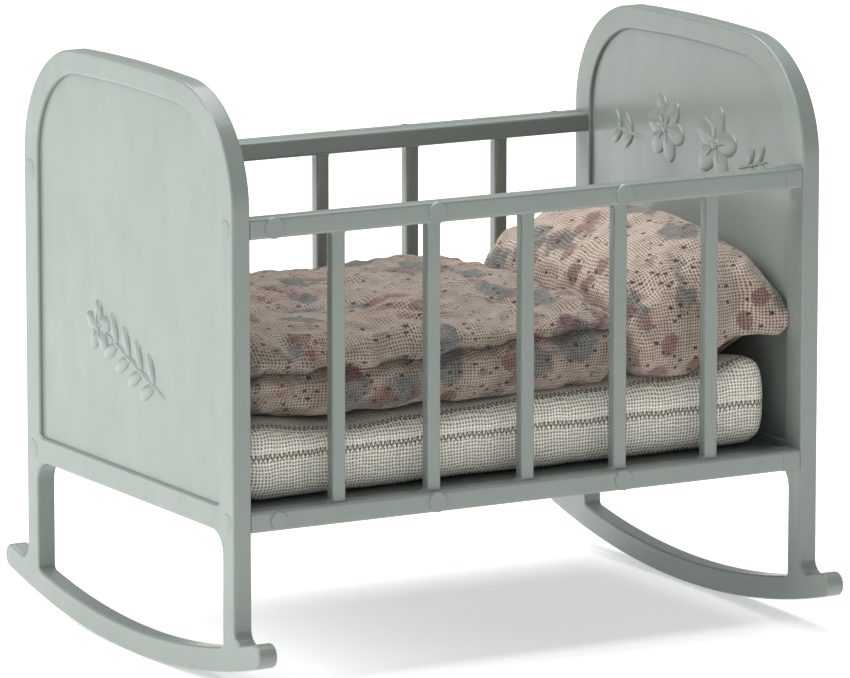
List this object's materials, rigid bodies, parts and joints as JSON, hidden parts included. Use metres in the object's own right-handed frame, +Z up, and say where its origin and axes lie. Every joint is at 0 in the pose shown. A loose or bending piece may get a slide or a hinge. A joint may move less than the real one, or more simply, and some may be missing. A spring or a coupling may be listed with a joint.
{
  "type": "baby cradle",
  "caption": "Miniature doll's rocking cradle with cast rocker end frames, barred sides, base plate, mattress, folded duvet and pillow.",
  "frame": {"origin": "centre of the bounding box's bottom, on the floor between the rocker arcs", "axes": "+X runs from the foot end to the head end, +Y across the cradle to the far side frame, +Z up"},
  "size_m": [0.12, 0.0992, 0.1065],
  "materials": {
    "painted_casting": "satin sage green paint",
    "base_plate": "satin sage green paint",
    "rivets": "satin sage green paint",
    "mattress_linen": "open plain-weave linen with brown dashed stripes",
    "printed_cotton": "printed plain-weave cotton",
    "filling": "soft wadding"
  },
  "bodies": {
    "cradle": {"foot_end": "painted_casting", "head_end": "painted_casting", "near_side_frame": "painted_casting", "far_side_frame": "painted_casting", "base_plate": "base_plate", "rivet_foot_near_top": "rivets", "rivet_foot_near_bottom": "rivets", "rivet_foot_far_top": "rivets", "rivet_foot_far_bottom": "rivets", "rivet_head_near_top": "rivets", "rivet_head_near_bottom": "rivets", "rivet_head_far_top": "rivets", "rivet_head_far_bottom": "rivets"},
    "mattress": {"mattress_cover": "mattress_linen", "mattress_filling": "filling"},
    "duvet": {"duvet_cover": "printed_cotton", "duvet_filling": "filling"},
    "pillow": {"pillow_cover": "printed_cotton", "pillow_filling": "filling"}
  },
  "joints": [
    {"name": "mattress_lift", "type": "slide", "parent": "cradle", "child": "mattress", "axis": [0, 0, 1], "range_m": [0, 0.08]},
    {"name": "duvet_lift", "type": "slide", "parent": "mattress", "child": "duvet", "axis": [0, 0, 1], "range_m": [0, 0.066]},
    {"name": "pillow_lift", "type": "slide", "parent": "mattress", "child": "pillow", "axis": [0, 0, 1], "range_m": [0, 0.066]}
  ]
}
